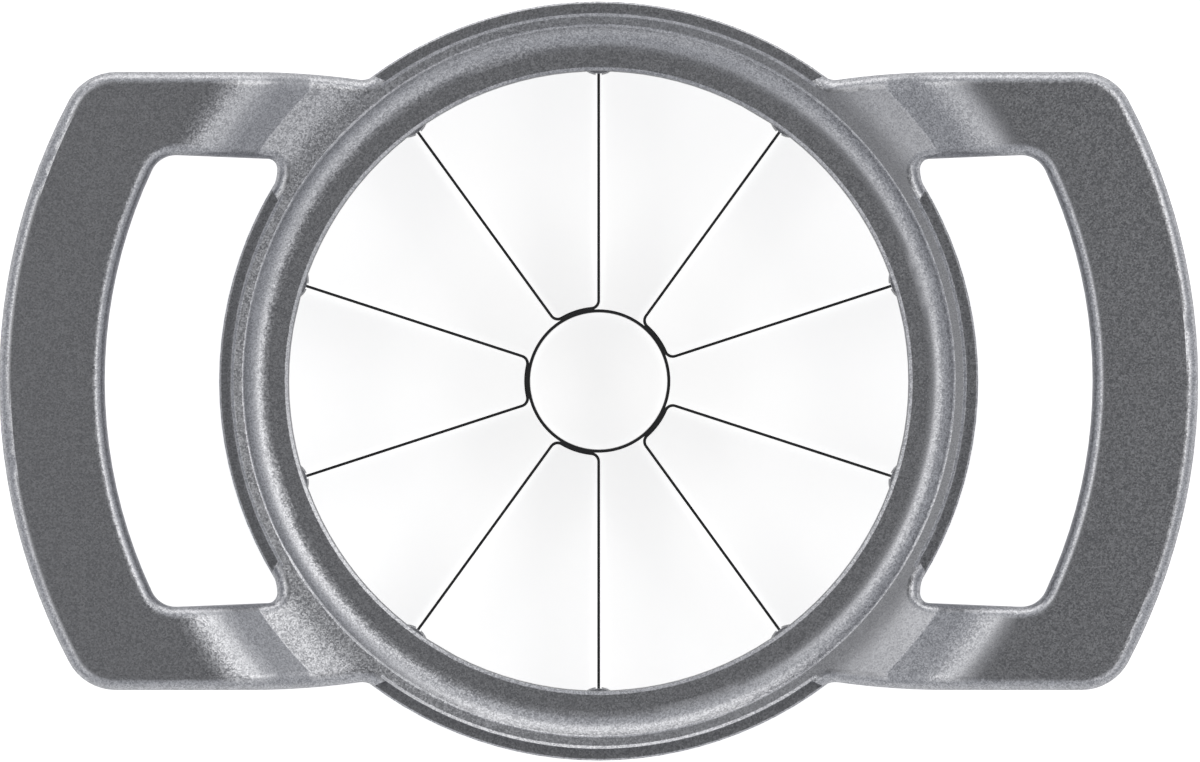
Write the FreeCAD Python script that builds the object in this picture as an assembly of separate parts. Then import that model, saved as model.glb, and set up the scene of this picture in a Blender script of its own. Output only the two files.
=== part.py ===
"""Two-handled apple divider: a cast frame, ten stainless blades in five bent strips, and a corer ring.

The axis of the ring is Z, the handles lie along X, and the tool stands on the plane z = 0.
All sizes are in millimetres and all angles in degrees.
"""
import FreeCAD, Part
import math
import os

# Ring of the casting
ring_inner_radius = 46.85
ring_width = 10.4
wall_draft = 0.22
ledge_width = 1.8
ledge_drop = 2.0
ledge_bevel = 0.25
foot_chamfer = 0.4

# Dished top of the ring, from the collar's edge inwards to the mouth
rim_width = 0.45
rim_height = 0.3
land_width = 1.65
land_slope = 9.0
dish_crown_radius = 0.6
dish_slope = 50.0
dish_hollow_radius = 4.8
lip_height = 28.6
mouth_bevel = 0.5
mouth_slope = 24.0

# Side view of the arms: they leave the ring's land, turn up at a crease and level out at the handles
crease_run = 6.25
root_blend_radius = 25.0
root_slope = 16.5
crease_rounding = 0.6
rise_slope = 39.0
rise_crown_radius = 13.5
rise_margin = 0.7
underside_bend_radius = 8.0
arm_root_underside = 20.0

# Handles and arms in plan
finger_gap = 17.15
handle_bar_width = 15.8
handle_thickness = 9.0
handle_corner_radius = 8.0
arm_half_span = 46.5
arm_straight = 21.4
arm_taper_radius = 108.0
arm_flare_radius = 3.0
opening_half_height = 34.0
opening_root_half_height = 33.55
opening_corner_radius = 4.0
opening_flare_radius = 6.0
opening_root_radius = 1.6
flare_slant = 2.0
edge_rounding = 1.8
underside_bevel = 1.4

# Hollow underside of the ring
inner_wall = 3.0
skirt_wall = 3.0
channel_top = 24.5
screw_post_width = 8.0

# Blades and corer
blade_pairs = 5
blade_thickness = 0.42
blade_edge_height = 1.5
blade_top_height = 19.0
blade_bevel = 1.3
web_bend_radius = 1.2
hook_length = 2.8
corer_bore_radius = 10.4
corer_wall = 0.45
corer_bottom_height = 0.8
corer_top_height = 20.0

# Slots and bosses that hold the blade ends
slot_width = 0.9
slot_headroom = 0.1
slot_boss_half_width = 1.8
slot_boss_depth = 0.35
slot_boss_cap = 1.2

# Retaining ring and its screws
retainer_thickness = 3.2
retainer_recess = 0.4
retainer_side_gap = 0.2
retainer_setback = 0.3
groove_width = 1.1
screw_diameter = 3.0
screw_head_diameter = 5.5
screw_head_height = 1.8
screw_head_gap = 0.2
screw_length = 10.0
screw_hole_gap = 0.05
screw_drive_width = 0.6
screw_drive_span = 2.8
screw_drive_depth = 1.0

# Fits shared by several pieces
hook_gap = 0.02
arm_sink = 0.1
sink = 1.0
tiny = 1e-4

Z_AXIS = FreeCAD.Vector(0, 0, 1)
ORIGIN = FreeCAD.Vector(0, 0, 0)

retainer_top = retainer_recess + retainer_thickness
ring_outer_radius = ring_inner_radius + ring_width
collar_radius = ring_outer_radius - ledge_width
channel_inner_radius = ring_inner_radius + inner_wall
channel_outer_radius = ring_outer_radius - skirt_wall
handle_inner_radius = ring_outer_radius + finger_gap
handle_outer_radius = handle_inner_radius + handle_bar_width
arm_root_radius = ring_outer_radius - arm_sink
crease_radius = collar_radius + crease_run
rise_end_radius = handle_inner_radius - rise_margin
corer_outer_radius = corer_bore_radius + corer_wall
slot_top = blade_top_height + slot_headroom
pair_pitch = 360.0 / blade_pairs
half_pair = pair_pitch / 4
hook_bend_radius = slot_width / 2
tall = 2 * (lip_height + handle_thickness)


def sine(angle):
    return math.sin(math.radians(angle))


def cosine(angle):
    return math.cos(math.radians(angle))


def plan(x, y):
    """A point of a plan view."""
    return FreeCAD.Vector(x, y, 0)


def side(radius, height):
    """A point of a section through the axis."""
    return FreeCAD.Vector(radius, 0, height)


def line(start, end):
    return Part.makeLine(start, end)


def loop(corners):
    """Straight edges from corner to corner and back to the first."""
    return [line(corners[i], corners[(i + 1) % len(corners)]) for i in range(len(corners))]


def arc(point, centre, radius, first, last):
    """Arc about centre, drawn by point (plan or side), from angle first to angle last."""
    middle = (first + last) / 2
    spots = [point(centre[0] + radius * cosine(a), centre[1] + radius * sine(a))
             for a in (first, middle, last)]
    return Part.Arc(*spots).toShape()


def angle_of(start, end):
    return math.degrees(math.atan2(end[1] - start[1], end[0] - start[0]))


def circles_meet(first, first_radius, second, second_radius):
    """The upper of the two points where two circles cross."""
    gap_x = second[0] - first[0]
    gap_y = second[1] - first[1]
    gap = math.hypot(gap_x, gap_y)
    along = (gap ** 2 + first_radius ** 2 - second_radius ** 2) / (2 * gap)
    across = math.sqrt(first_radius ** 2 - along ** 2)
    foot = (first[0] + along * gap_x / gap, first[1] + along * gap_y / gap)
    one = (foot[0] - across * gap_y / gap, foot[1] + across * gap_x / gap)
    two = (foot[0] + across * gap_y / gap, foot[1] - across * gap_x / gap)
    return one if one[1] > two[1] else two


def revolved(edges, angle=360.0):
    """Solid of revolution about the axis of the ring, from a closed section."""
    face = Part.Face(Part.Wire(edges))
    return face.revolve(ORIGIN, Z_AXIS, angle)


def turned(shape, angle):
    """A copy of shape, turned about the axis of the ring."""
    copy = shape.copy()
    copy.rotate(ORIGIN, Z_AXIS, angle)
    return copy


def box(x_size, y_size, z_size, x_low, y_middle, z_low):
    corner = FreeCAD.Vector(x_low, y_middle - y_size / 2, z_low)
    return Part.makeBox(x_size, y_size, z_size, corner)


def mouth_height():
    """Height where the mouth's bevel meets the inner wall."""
    return lip_height - mouth_bevel * math.tan(math.radians(mouth_slope))


def dish_section():
    """Edges of the ring's top from the mouth to the collar, with the two ends of its sloping land."""
    crown_run = dish_crown_radius * (sine(dish_slope) - sine(land_slope))
    flat_end = collar_radius - land_width - crown_run - dish_hollow_radius * sine(dish_slope)
    hollow = (flat_end, lip_height + dish_hollow_radius)
    steep = (flat_end + dish_hollow_radius * sine(dish_slope),
             hollow[1] - dish_hollow_radius * cosine(dish_slope))
    crown = (steep[0] + dish_crown_radius * sine(dish_slope),
             steep[1] - dish_crown_radius * cosine(dish_slope))
    land = (crown[0] - dish_crown_radius * sine(land_slope),
            crown[1] + dish_crown_radius * cosine(land_slope))
    edge = (collar_radius, land[1] + land_width * math.tan(math.radians(land_slope)))
    bevel_end = side(ring_inner_radius + mouth_bevel, lip_height)
    edges = [line(side(ring_inner_radius, mouth_height()), bevel_end),
             line(bevel_end, side(flat_end, lip_height)),
             arc(side, hollow, dish_hollow_radius, -90, dish_slope - 90),
             arc(side, crown, dish_crown_radius, 90 + dish_slope, 90 + land_slope),
             line(side(*land), side(*edge))]
    return edges, land, edge


def arm_top_section(land, edge):
    """Edges of the arms' top from the ring's land out past the handles."""
    blend = (edge[0] - root_blend_radius * sine(land_slope),
             edge[1] + root_blend_radius * cosine(land_slope))
    blend_end = (blend[0] + root_blend_radius * sine(root_slope),
                 blend[1] - root_blend_radius * cosine(root_slope))
    crease_height = blend_end[1] + (crease_radius - blend_end[0]) * math.tan(math.radians(root_slope))
    tangent = crease_rounding * math.tan(math.radians((rise_slope - root_slope) / 2))
    before = (crease_radius - tangent * cosine(root_slope), crease_height - tangent * sine(root_slope))
    after = (crease_radius + tangent * cosine(rise_slope), crease_height + tangent * sine(rise_slope))
    crease = (before[0] - crease_rounding * sine(root_slope), before[1] + crease_rounding * cosine(root_slope))
    crown_start_radius = rise_end_radius - rise_crown_radius * sine(rise_slope)
    crown_start = crease_height + (crown_start_radius - crease_radius) * math.tan(math.radians(rise_slope))
    crown = (rise_end_radius, crown_start - rise_crown_radius * cosine(rise_slope))
    handle_top = crown[1] + rise_crown_radius
    reach = handle_outer_radius + sink
    edges = [line(side(*land), side(*edge)),
             arc(side, blend, root_blend_radius, land_slope - 90, root_slope - 90),
             line(side(*blend_end), side(*before)),
             arc(side, crease, crease_rounding, root_slope - 90, rise_slope - 90),
             line(side(*after), side(crown_start_radius, crown_start)),
             arc(side, crown, rise_crown_radius, 90 + rise_slope, 90),
             line(side(rise_end_radius, handle_top), side(reach, handle_top))]
    return edges, handle_top, reach


def arm_band():
    """Body of revolution with the arms' and handles' side view as its section."""
    _, land, edge = dish_section()
    edges, handle_top, reach = arm_top_section(land, edge)
    low = arm_root_underside
    high = handle_top - handle_thickness
    bend = underside_bend_radius
    slant_rise = high - low - 2 * bend * (1 - cosine(rise_slope))
    run = 2 * bend * sine(rise_slope) + slant_rise / math.tan(math.radians(rise_slope))
    start = rise_end_radius - run
    slant = [side(start + bend * sine(rise_slope), low + bend * (1 - cosine(rise_slope))),
             side(rise_end_radius - bend * sine(rise_slope), high - bend * (1 - cosine(rise_slope)))]
    edges += [line(side(reach, handle_top), side(reach, high)),
              line(side(reach, high), side(rise_end_radius, high)),
              arc(side, (rise_end_radius, high - bend), bend, 90, 90 + rise_slope),
              line(slant[1], slant[0]),
              arc(side, (start, low + bend), bend, rise_slope - 90, -90),
              line(side(start, low), side(land[0], low)),
              line(side(land[0], low), side(*land))]
    return revolved(edges)


def polar(radius, angle):
    return plan(radius * cosine(angle), radius * sine(angle))


def arm_contour():
    """Upper half of the right handle's outer outline, from the X axis to where the arm meets the ring."""
    corner_y = arm_half_span - handle_corner_radius
    corner = (math.sqrt((handle_outer_radius - handle_corner_radius) ** 2 - corner_y ** 2), corner_y)
    corner_angle = angle_of((0, 0), corner)
    taper = (corner[0] - arm_straight, arm_half_span - arm_taper_radius)
    flare = circles_meet((0, 0), arm_root_radius + arm_flare_radius, taper, arm_taper_radius + arm_flare_radius)
    taper_angle = angle_of(taper, flare)
    flare_angle = angle_of((0, 0), flare)
    edges = [arc(plan, (0, 0), handle_outer_radius, 0, corner_angle),
             arc(plan, corner, handle_corner_radius, corner_angle, 90),
             line(plan(corner[0], arm_half_span), plan(taper[0], arm_half_span)),
             arc(plan, taper, arm_taper_radius, 90, taper_angle),
             arc(plan, flare, arm_flare_radius, taper_angle - 180, flare_angle - 180)]
    return edges, flare_angle


def opening_contour():
    """Upper half of the right finger opening's outline, from the ring round to the X axis."""
    corner_y = opening_half_height - opening_corner_radius
    corner = (math.sqrt((handle_inner_radius - opening_corner_radius) ** 2 - corner_y ** 2), corner_y)
    corner_angle = angle_of((0, 0), corner)
    root_y = opening_root_half_height - opening_root_radius
    flare = (math.sqrt((arm_root_radius + opening_flare_radius) ** 2 - root_y ** 2), root_y)
    flare_angle = angle_of((0, 0), flare)
    root = (flare[0] - opening_flare_radius + opening_root_radius, root_y)
    spread = math.hypot(corner[0] - root[0], corner[1] - root[1])
    lean = math.degrees(math.asin((opening_corner_radius - opening_root_radius) / spread))
    normal = angle_of(root, corner) + 90 + lean
    edges = [arc(plan, flare, opening_flare_radius, 180 + flare_angle, 180),
             arc(plan, root, opening_root_radius, 180, normal),
             line(plan(root[0] + opening_root_radius * cosine(normal),
                       root[1] + opening_root_radius * sine(normal)),
                  plan(corner[0] + opening_corner_radius * cosine(normal),
                       corner[1] + opening_corner_radius * sine(normal))),
             arc(plan, corner, opening_corner_radius, normal, corner_angle),
             arc(plan, (0, 0), handle_inner_radius, corner_angle, 0)]
    return edges, flare_angle


def handle_outline():
    """Plan of the right handle and its two arms, which end inside the ring under its sloping land."""
    _, land, _ = dish_section()
    outer, outer_angle = arm_contour()
    inner, inner_angle = opening_contour()
    root = [polar(arm_root_radius, outer_angle), polar(land[0], outer_angle + flare_slant),
            polar(land[0], inner_angle - flare_slant), polar(arm_root_radius, inner_angle)]
    hidden = [line(root[0], root[1]),
              arc(plan, (0, 0), land[0], outer_angle + flare_slant, inner_angle - flare_slant),
              line(root[2], root[3])]
    half = outer + hidden + inner
    mirrored = [edge.mirror(ORIGIN, FreeCAD.Vector(0, 1, 0)) for edge in reversed(half)]
    return Part.Face(Part.Wire(half + mirrored))


def rise_of_normal(face):
    u_low, u_high, v_low, v_high = face.ParameterRange
    return face.normalAt((u_low + u_high) / 2, (v_low + v_high) / 2).z


def is_wall(face):
    return abs(rise_of_normal(face)) < tiny


def is_upper(face):
    return rise_of_normal(face) > tiny


def rim_edges(shape, upper):
    """Edges where the walls meet the top, or the underside, from the ring outwards."""
    found = []
    for edge in shape.Edges:
        faces = shape.ancestorsOfType(edge, Part.Face)
        flats = [face for face in faces if not is_wall(face)]
        inmost = min(math.hypot(vertex.X, vertex.Y) for vertex in edge.Vertexes)
        if len(flats) != 1 or len(faces) != 2 or inmost < arm_root_radius - tiny:
            continue
        if is_upper(flats[0]) == upper:
            found.append(edge)
    return found


def handle():
    """Right handle with its two arms, rounded above and bevelled beneath, ready to be joined to the ring."""
    blank = handle_outline().extrude(FreeCAD.Vector(0, 0, tall)).common(arm_band())
    rounded = blank.makeFillet(edge_rounding, rim_edges(blank, True))
    return rounded.makeChamfer(underside_bevel, rim_edges(rounded, False))


def ring_body():
    """Revolved ring with its dished top, collar, ledge and skirt, solid inside for now."""
    top, _, edge = dish_section()
    ledge = edge[1] - ledge_drop
    corners = [side(*edge), side(collar_radius, ledge), side(ring_outer_radius - ledge_bevel, ledge),
               side(ring_outer_radius, ledge - ledge_bevel), side(ring_outer_radius, foot_chamfer),
               side(ring_outer_radius - foot_chamfer, 0), side(channel_outer_radius, 0),
               side(channel_outer_radius, retainer_top), side(ring_inner_radius + wall_draft, retainer_top),
               side(ring_inner_radius, mouth_height())]
    return revolved(top + loop(corners)[:-1])


def rim_lines():
    """Fine upstand on the collar's edge, on the stretches where no arm leaves it."""
    _, _, edge = dish_section()
    arms = arm_contour()[1]
    openings = opening_contour()[1]
    foot = edge[1] - rim_width * math.tan(math.radians(land_slope))
    section = loop([side(edge[0] - rim_width, foot), side(edge[0], foot), side(edge[0], edge[1] + rim_height)])
    spans = [(-openings, openings), (arms, 180 - arms), (180 - openings, 180 + openings), (180 + arms, 360 - arms)]
    return [turned(revolved(section, last - first), first) for first, last in spans]


def rectangle_section(low_radius, high_radius, low, high):
    return loop([side(low_radius, low), side(high_radius, low), side(high_radius, high), side(low_radius, high)])


def slot_boss():
    """Low rounded boss on the ring's inner wall that frames one blade slot, at angle zero."""
    back = ring_inner_radius + inner_wall / 2
    wall = ring_inner_radius + slot_boss_depth / 2
    tip = ring_inner_radius - slot_boss_depth
    shore = [plan(wall, -slot_boss_half_width), plan(tip, 0), plan(wall, slot_boss_half_width)]
    outline = Part.Wire([Part.Arc(*shore).toShape(),
                         line(shore[2], plan(back, slot_boss_half_width)),
                         line(plan(back, slot_boss_half_width), plan(back, -slot_boss_half_width)),
                         line(plan(back, -slot_boss_half_width), shore[0])])
    height = slot_top + slot_boss_cap - retainer_top
    boss = Part.Face(outline).extrude(FreeCAD.Vector(0, 0, height))
    boss.translate(FreeCAD.Vector(0, 0, retainer_top))
    return boss


def blade_angles():
    return [pair_pitch * (pair + 0.5) + turn * half_pair for pair in range(blade_pairs) for turn in (-1, 1)]


def screw_radius():
    return (ring_inner_radius + channel_outer_radius) / 2


def handle_frame():
    """The casting: ring, arms and handles, with its channel, blade slots and screw holes."""
    right = handle()
    frame = ring_body().fuse([right, turned(right, 180)] + rim_lines())
    frame = frame.removeSplitter()

    post_angle = math.degrees(screw_post_width / screw_radius())
    channel = revolved(rectangle_section(channel_inner_radius, channel_outer_radius,
                                         retainer_top - sink, channel_top), pair_pitch - post_angle)
    slot = box(inner_wall + 2 * slot_boss_depth + sink, slot_width, slot_top - retainer_top + sink,
               ring_inner_radius - 2 * slot_boss_depth, 0, retainer_top - sink)
    hole_end = retainer_recess + screw_head_height + screw_length + sink
    hole = Part.makeCylinder(screw_diameter / 2 + screw_hole_gap, hole_end - retainer_top + sink,
                             side(screw_radius(), retainer_top - sink))

    bosses = [turned(slot_boss(), angle) for angle in blade_angles()]
    cuts = [turned(slot, angle) for angle in blade_angles()]
    for pair in range(blade_pairs):
        cuts.append(turned(channel, pair * pair_pitch + post_angle / 2))
        cuts.append(turned(hole, pair * pair_pitch))
    return frame.fuse(bosses).cut(cuts)


def clamp_screw():
    """Flat-headed screw, head down, with a cross recess, at angle zero."""
    low = retainer_recess
    head = Part.makeCylinder(screw_head_diameter / 2, screw_head_height, side(0, low))
    shank = Part.makeCylinder(screw_diameter / 2, screw_head_height + screw_length, side(0, low))
    bars = [turned(box(screw_drive_span, screw_drive_width, screw_drive_depth + sink,
                       -screw_drive_span / 2, 0, low - sink), angle) for angle in (45, 135)]
    screw = head.fuse(shank).cut(bars)
    screw.translate(side(screw_radius(), 0))
    return screw


def clamp_screws():
    return Part.makeCompound([turned(clamp_screw(), pair * pair_pitch) for pair in range(blade_pairs)])


def retaining_ring():
    """Flat ring in the frame's underside, grooved for the blade ends and counterbored for screws."""
    ring = revolved(rectangle_section(ring_inner_radius + retainer_setback, channel_outer_radius - retainer_side_gap,
                                      retainer_recess, retainer_top))
    hook_radius = channel_inner_radius + hook_gap + blade_thickness
    groove = box(hook_radius + retainer_side_gap - ring_inner_radius + sink, groove_width, tall,
                 ring_inner_radius - sink, 0, blade_edge_height)
    pocket = box(groove_width + hook_bend_radius, hook_length + groove_width, tall,
                 hook_radius + retainer_side_gap - groove_width - hook_bend_radius, hook_length / 2, blade_edge_height)
    head_seat = Part.makeCylinder(screw_head_diameter / 2 + screw_head_gap, retainer_recess + screw_head_height,
                                  side(screw_radius(), 0))
    hole = Part.makeCylinder(screw_diameter / 2 + screw_hole_gap, tall, side(screw_radius(), 0))
    cuts = []
    for pair in range(blade_pairs):
        middle = pair_pitch * (pair + 0.5)
        away = pocket.mirror(ORIGIN, FreeCAD.Vector(0, 1, 0))
        cuts += [turned(groove.fuse(pocket), middle + half_pair), turned(groove.fuse(away), middle - half_pair)]
        cuts.append(turned(head_seat.fuse(hole), pair * pair_pitch))
    return ring.cut(cuts)


def blade_path():
    """Centre line of one strip in plan, from hook to hook, with the pair's axis along X."""
    web_radius = corer_outer_radius + blade_thickness / 2
    bend = web_bend_radius
    leg_start = math.sqrt((web_radius + bend) ** 2 - bend ** 2)
    web_angle = half_pair - math.degrees(math.atan2(bend, leg_start))
    hook_line = channel_inner_radius + hook_gap + blade_thickness / 2
    leg_end = hook_line - hook_bend_radius

    def leg_point(along, across):
        """Point beside the upper leg, along it from the axis and across it away from the pair's axis."""
        return (along * cosine(half_pair) - across * sine(half_pair),
                along * sine(half_pair) + across * cosine(half_pair))

    upper = [arc(plan, (0, 0), web_radius, 0, web_angle),
             arc(plan, leg_point(leg_start, -bend), bend, web_angle + 180, half_pair + 90),
             line(plan(*leg_point(leg_start, 0)), plan(*leg_point(leg_end, 0))),
             arc(plan, leg_point(leg_end, hook_bend_radius), hook_bend_radius, half_pair - 90, half_pair),
             line(plan(*leg_point(hook_line, hook_bend_radius)), plan(*leg_point(hook_line, hook_length)))]
    lower = [edge.mirror(ORIGIN, FreeCAD.Vector(0, 1, 0)) for edge in upper]
    return Part.Wire(Part.__sortEdges__(upper + lower))


def blade_pair():
    """One bent strip: a ground section swept along the centre line."""
    path = blade_path()
    start = path.Edges[0].valueAt(path.Edges[0].FirstParameter)
    heading = path.Edges[0].tangentAt(path.Edges[0].FirstParameter)
    across = heading.cross(Z_AXIS)
    half = blade_thickness / 2
    shoulder = blade_edge_height + blade_bevel
    outline = [(0, blade_edge_height), (half, shoulder), (half, blade_top_height),
               (-half, blade_top_height), (-half, shoulder)]
    corners = [start + across * step + Z_AXIS * height for step, height in outline]
    section = Part.makePolygon(corners + corners[:1])
    return path.makePipeShell([section], True, False)


def corer_ring():
    """Rolled steel ring with its lower edge ground from outside."""
    return revolved(loop([side(corer_bore_radius, corer_bottom_height),
                          side(corer_outer_radius, corer_bottom_height + blade_bevel),
                          side(corer_outer_radius, corer_top_height),
                          side(corer_bore_radius, corer_top_height)]))


def export(name, shape):
    shape.exportStep("parts/" + name + ".step")
    print(name, len(shape.Solids), "solid(s)", round(shape.Volume, 1), "mm3, valid:", shape.isValid())


os.makedirs("parts", exist_ok=True)
export("handle_frame", handle_frame())
export("retaining_ring", retaining_ring())
export("corer_ring", corer_ring())
strip = blade_pair()
for pair in range(blade_pairs):
    export("blade_pair_" + str(pair + 1), turned(strip, pair_pitch * (pair + 0.5)))
export("clamp_screws", clamp_screws())
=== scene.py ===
"""Two-handled apple divider on a white table: a painted casting, steel blades, a corer and clamp screws."""
import bpy
import math
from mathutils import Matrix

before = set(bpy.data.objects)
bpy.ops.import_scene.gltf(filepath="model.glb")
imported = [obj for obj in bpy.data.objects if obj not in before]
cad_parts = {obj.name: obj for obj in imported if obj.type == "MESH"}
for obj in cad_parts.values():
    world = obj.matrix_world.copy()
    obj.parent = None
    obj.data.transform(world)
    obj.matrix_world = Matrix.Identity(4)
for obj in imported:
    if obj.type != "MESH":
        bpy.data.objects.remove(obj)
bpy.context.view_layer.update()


# Cast frame
# The real piece is one aluminium casting, ring, arms and handles together, trimmed and blasted.
# It is sprayed with silver paint full of metal flakes. The paint flows a little at every edge,
# so sharp corners of the casting look softened, and the flakes show as a fine bright grain.
# Real flakes are a few hundredths of a millimetre. They are drawn wider here, so that they show.
bright_flake = "#D6D7DB"
dull_flake = "#9C9DA2"
flake_size_mm = 0.20
flake_tilt = 0.08
flake_middle = (0.5, 0.5, 0.5)
paint_roughness = 0.34
paint_edge_mm = 0.10
paint_edge_samples = 6
cast_wave_mm = 7.0
cast_wave_detail = 2.0
cast_wave_depth_mm = 0.4
cast_wave_strength = 0.08


def linear(code):
    """Linear colour of an sRGB hex code."""
    parts = [int(code[i:i + 2], 16) / 255 for i in (1, 3, 5)]
    return [p / 12.92 if p <= 0.04045 else ((p + 0.055) / 1.055) ** 2.4 for p in parts] + [1.0]


def add_node(tree, kind, inputs=None, **settings):
    """Add one node. Its inputs are given values, or linked where the value is another node's socket."""
    made = tree.nodes.new(kind)
    for name, value in settings.items():
        setattr(made, name, value)
    for socket, value in (inputs or {}).items():
        if isinstance(value, bpy.types.NodeSocket):
            tree.links.new(value, made.inputs[socket])
        else:
            made.inputs[socket].default_value = value
    return made


def new_finish(name):
    """An empty material and its node tree, ready to be filled."""
    finish = bpy.data.materials.new(name)
    finish.use_nodes = True
    finish.node_tree.nodes.clear()
    return finish, finish.node_tree


def per_metre(size_mm):
    """Scale of a pattern whose cells have this size."""
    return 1000.0 / size_mm


# Silver flake paint, sprayed: the flakes lie almost flat in the film. Each has its own tone and a
# slight tilt, which gives the eye a fine sparkle on the flats and wide soft light on the slopes.
silver_paint, tree = new_finish("silver_flake_paint")
place = add_node(tree, "ShaderNodeTexCoord").outputs["Object"]
flakes = add_node(tree, "ShaderNodeTexVoronoi", {"Vector": place, "Scale": per_metre(flake_size_mm)})
tilt = add_node(tree, "ShaderNodeVectorMath", {0: flakes.outputs["Color"], 1: flake_middle},
                operation="SUBTRACT")
tilt = add_node(tree, "ShaderNodeVectorMath", {0: tilt.outputs[0], "Scale": flake_tilt},
                operation="SCALE")
waves = add_node(tree, "ShaderNodeTexNoise", {"Vector": place, "Scale": per_metre(cast_wave_mm),
                                              "Detail": cast_wave_detail})
edge = add_node(tree, "ShaderNodeBevel", {"Radius": paint_edge_mm / 1000}, samples=paint_edge_samples)
wavy = add_node(tree, "ShaderNodeBump", {"Height": waves.outputs["Fac"], "Strength": cast_wave_strength,
                                         "Distance": cast_wave_depth_mm / 1000, "Normal": edge.outputs[0]})
leaning = add_node(tree, "ShaderNodeVectorMath", {0: wavy.outputs[0], 1: tilt.outputs[0]}, operation="ADD")
leaning = add_node(tree, "ShaderNodeVectorMath", {0: leaning.outputs[0]}, operation="NORMALIZE")
chance = add_node(tree, "ShaderNodeSeparateColor", {"Color": flakes.outputs["Color"]})
tone = add_node(tree, "ShaderNodeValToRGB", {"Fac": chance.outputs["Red"]})
tone.color_ramp.elements[0].color = linear(dull_flake)
tone.color_ramp.elements[1].color = linear(bright_flake)
surface = add_node(tree, "ShaderNodeBsdfPrincipled", {"Base Color": tone.outputs["Color"], "Metallic": 1.0,
                                                      "Roughness": paint_roughness,
                                                      "Normal": leaning.outputs[0]})
add_node(tree, "ShaderNodeOutputMaterial", {"Surface": surface.outputs[0]})
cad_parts["handle_frame"].material_slots[0].material = silver_paint


# Retaining ring
# A flat aluminium ring in the underside that closes the slots and keeps the blade ends in place.
# It wears the same paint as the casting, sprayed before it was screwed on.
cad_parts["retaining_ring"].material_slots[0].material = silver_paint


# Blades and corer
# Five strips of rolled stainless steel, each bent round the corer into two blades, with the lower
# edge ground sharp on both sides, and a rolled steel ring in the middle that they are welded to.
# The lines that the rolls leave are finer than a hair. They are drawn coarser here, so that they show.
steel_grey = "#B6B6B7"
strips = 5
grain_mm = 0.15
grain_stretch = (0.03, 0.03, 1.0)
grain_detail = 3.0
grain_depth_mm = 0.02
grain_strength = 0.15
steel_smoothest = 0.10
steel_roughest = 0.18

# Rolled stainless steel: fine lines along the strip from the rolls spread the light up and down.
blade_steel, tree = new_finish("rolled_stainless_steel")
place = add_node(tree, "ShaderNodeTexCoord").outputs["Object"]
stretch = add_node(tree, "ShaderNodeMapping", {"Vector": place, "Scale": grain_stretch})
lines = add_node(tree, "ShaderNodeTexNoise", {"Vector": stretch.outputs[0], "Scale": per_metre(grain_mm),
                                              "Detail": grain_detail})
ridges = add_node(tree, "ShaderNodeBump", {"Height": lines.outputs["Fac"], "Strength": grain_strength,
                                           "Distance": grain_depth_mm / 1000})
gloss = add_node(tree, "ShaderNodeMapRange", {"Value": lines.outputs["Fac"], "To Min": steel_smoothest,
                                              "To Max": steel_roughest})
surface = add_node(tree, "ShaderNodeBsdfPrincipled", {"Base Color": linear(steel_grey), "Metallic": 1.0,
                                                      "Roughness": gloss.outputs[0],
                                                      "Normal": ridges.outputs[0]})
add_node(tree, "ShaderNodeOutputMaterial", {"Surface": surface.outputs[0]})
for name in ["corer_ring"] + ["blade_pair_%d" % (strip + 1) for strip in range(strips)]:
    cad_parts[name].material_slots[0].material = blade_steel


# Clamp screws
# Five flat-headed steel screws, zinc plated, that pull the retaining ring up against the casting.
# They are driven from beneath, between the blade pairs.
zinc_white = "#C9CCD0"
blot_mm = 1.5
blot_detail = 3.0
zinc_smoothest = 0.18
zinc_roughest = 0.42

# Bright zinc plating: cool, a little cloudy, with soft duller blots where the bath thinned.
screw_zinc, tree = new_finish("bright_zinc_plating")
place = add_node(tree, "ShaderNodeTexCoord").outputs["Object"]
blots = add_node(tree, "ShaderNodeTexNoise", {"Vector": place, "Scale": per_metre(blot_mm),
                                              "Detail": blot_detail})
gloss = add_node(tree, "ShaderNodeMapRange", {"Value": blots.outputs["Fac"], "To Min": zinc_smoothest,
                                              "To Max": zinc_roughest})
surface = add_node(tree, "ShaderNodeBsdfPrincipled", {"Base Color": linear(zinc_white), "Metallic": 1.0,
                                                      "Roughness": gloss.outputs[0]})
add_node(tree, "ShaderNodeOutputMaterial", {"Surface": surface.outputs[0]})
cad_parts["clamp_screws"].material_slots[0].material = screw_zinc


# Table and room
# A matt white table top in a white room. The glow of the table and the room makes the page white
# without more light on the object. Metal mirrors the table more dimly than the camera sees it.
# Seen from below the table is clear, as if the tool stood on glass.
table_white = "#E9E9E9"
table_width_m = 30.0
gap_beneath_m = 0.0002
table_glow = 0.77
table_mirrored = 0.25
page_white = "#FFFFFF"
room_white = "#F8FAFF"
room_low = 0.50
room_high = 0.038
walls_end = 0.86
ceiling_starts = 0.98

bpy.ops.object.select_all(action="DESELECT")
bpy.ops.mesh.primitive_plane_add(size=table_width_m, location=(0, 0, -gap_beneath_m))
table = bpy.context.object
table.name = "table"
bpy.ops.object.transform_apply()
matt_white, tree = new_finish("matt_white_table")
ray = add_node(tree, "ShaderNodeLightPath")
bounced = add_node(tree, "ShaderNodeMath", {0: ray.outputs["Is Glossy Ray"],
                                            1: ray.outputs["Is Transmission Ray"]}, operation="ADD")
bounced = add_node(tree, "ShaderNodeMath", {0: bounced.outputs[0], 1: table_mirrored}, operation="MULTIPLY")
glow = add_node(tree, "ShaderNodeMath", {0: ray.outputs["Is Camera Ray"], 1: table_glow,
                                         2: bounced.outputs[0]}, operation="MULTIPLY_ADD")
chalk = add_node(tree, "ShaderNodeBsdfDiffuse", {"Color": linear(table_white)})
light = add_node(tree, "ShaderNodeEmission", {"Strength": glow.outputs[0]})
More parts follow.
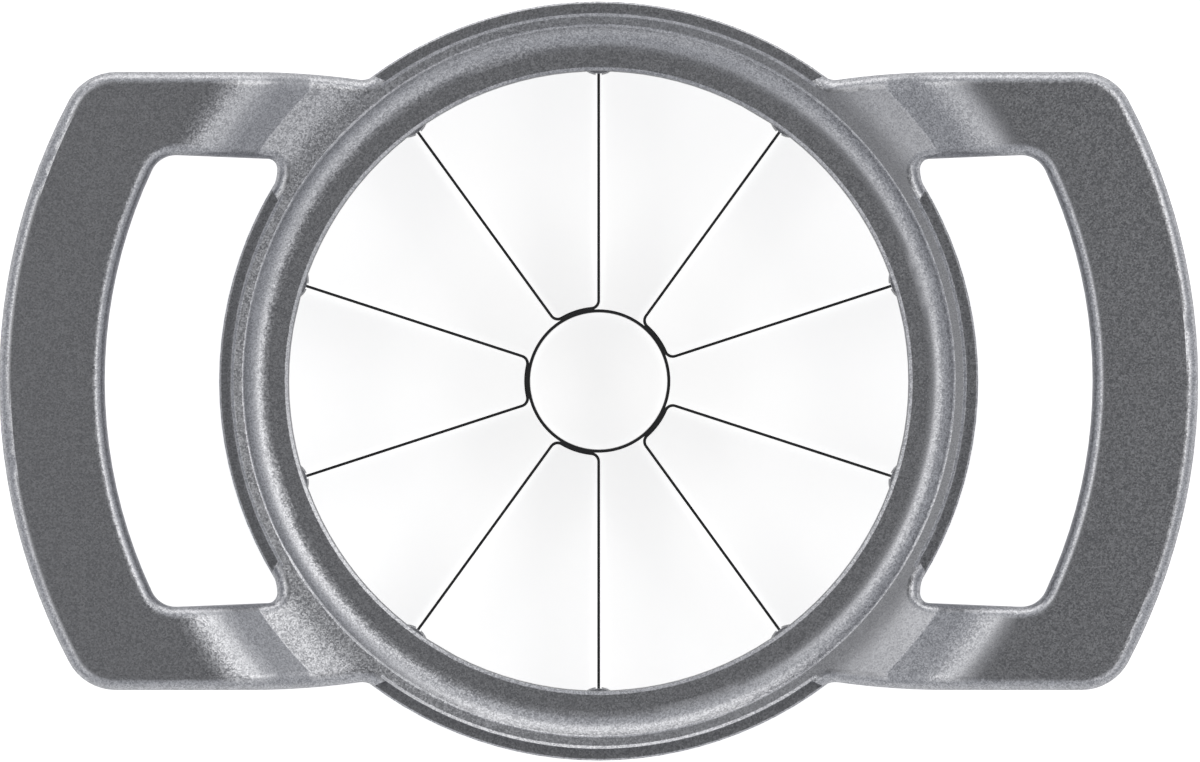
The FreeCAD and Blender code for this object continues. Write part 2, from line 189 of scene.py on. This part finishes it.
both = add_node(tree, "ShaderNodeAddShader", {0: chalk.outputs[0], 1: light.outputs[0]})
clear = add_node(tree, "ShaderNodeBsdfTransparent")
behind = add_node(tree, "ShaderNodeNewGeometry").outputs["Backfacing"]
top_or_back = add_node(tree, "ShaderNodeMixShader", {0: behind, 1: both.outputs[0], 2: clear.outputs[0]})
add_node(tree, "ShaderNodeOutputMaterial", {"Surface": top_or_back.outputs[0]})
table.data.materials.append(matt_white)

# The walls are bright and the ceiling is dark, so flats that look straight up turn dark.
# The camera itself sees a plain white page all round.
room = bpy.data.worlds.new("room")
bpy.context.scene.world = room
room.use_nodes = True
tree = room.node_tree
tree.nodes.clear()
toward = add_node(tree, "ShaderNodeTexCoord").outputs["Generated"]
height = add_node(tree, "ShaderNodeSeparateXYZ", {0: toward}).outputs["Z"]
level = add_node(tree, "ShaderNodeMapRange", {"Value": height, "From Min": walls_end,
                                              "From Max": ceiling_starts, "To Min": room_low,
                                              "To Max": room_high}, interpolation_type="SMOOTHSTEP")
ray = add_node(tree, "ShaderNodeLightPath")
walls = add_node(tree, "ShaderNodeBackground", {"Color": linear(room_white), "Strength": level.outputs[0]})
page = add_node(tree, "ShaderNodeBackground", {"Color": linear(page_white), "Strength": 1.0})
seen = add_node(tree, "ShaderNodeMixShader", {0: ray.outputs["Is Camera Ray"], 1: walls.outputs[0],
                                              2: page.outputs[0]})
add_node(tree, "ShaderNodeOutputWorld", {"Surface": seen.outputs[0]})


# Lamps
# Softboxes stand round the table and none hangs over it, so flats stay dark and slopes turn bright.
# Each one has the bearing it stands at, its lean from straight up, its width and depth in metres
# and the brightness of its face. They all stand at the same distance and look at the ring.
softboxes = [("back_box", 90, 74, 2.0, 1.0, 1.10),
             ("back_right_box", 33, 41, 0.8, 0.80, 1.22),
             ("right_box", 5, 34, 0.5, 0.45, 1.30),
             ("back_left_box", 150, 37, 0.8, 0.70, 0.82),
             ("left_box", 178, 31, 0.5, 0.36, 1.25),
             ("front_left_box", 215, 41, 0.7, 0.85, 0.48),
             ("front_right_box", 318, 42, 0.8, 0.90, 0.47),
             ("front_box", 270, 74, 2.0, 0.9, 0.22)]
lamp_white = "#FFFDF8"
softbox_distance_m = 1.5

for name, bearing, lean, width, depth, brightness in softboxes:
    lamp = bpy.data.lights.new(name, "AREA")
    lamp.shape = "RECTANGLE"
    lamp.color = linear(lamp_white)[:3]
    lamp.size = width
    lamp.size_y = depth
    lamp.energy = brightness * width * depth * math.pi
    stand = bpy.data.objects.new(name, lamp)
    bpy.context.scene.collection.objects.link(stand)
    flat = math.sin(math.radians(lean)) * softbox_distance_m
    stand.location = (flat * math.cos(math.radians(bearing)), flat * math.sin(math.radians(bearing)),
                      math.cos(math.radians(lean)) * softbox_distance_m)
    stand.rotation_euler = (math.radians(lean), 0, math.radians(bearing + 90))
    stand.visible_camera = False


# Camera
# Straight above the ring with a very long lens, as in a catalogue picture, so walls hardly show.
# The picture is a hair wider than the tool over both handles, at the height given here,
# which lies between the ring's rim and the tops of the handles.
lens_mm = 600.0
sensor_mm = 36.0
picture_width_m = 0.1807
measured_height_m = 0.033
aim_x_m = 0.0002
far_limit_m = 100.0

camera = bpy.data.objects.new("camera", bpy.data.cameras.new("camera"))
bpy.context.scene.collection.objects.link(camera)
camera.data.lens = lens_mm
camera.data.sensor_width = sensor_mm
camera.data.clip_end = far_limit_m
camera.location = (aim_x_m, 0, measured_height_m + picture_width_m * lens_mm / sensor_mm)
bpy.context.scene.camera = camera
bpy.context.scene.view_settings.view_transform = "Standard"
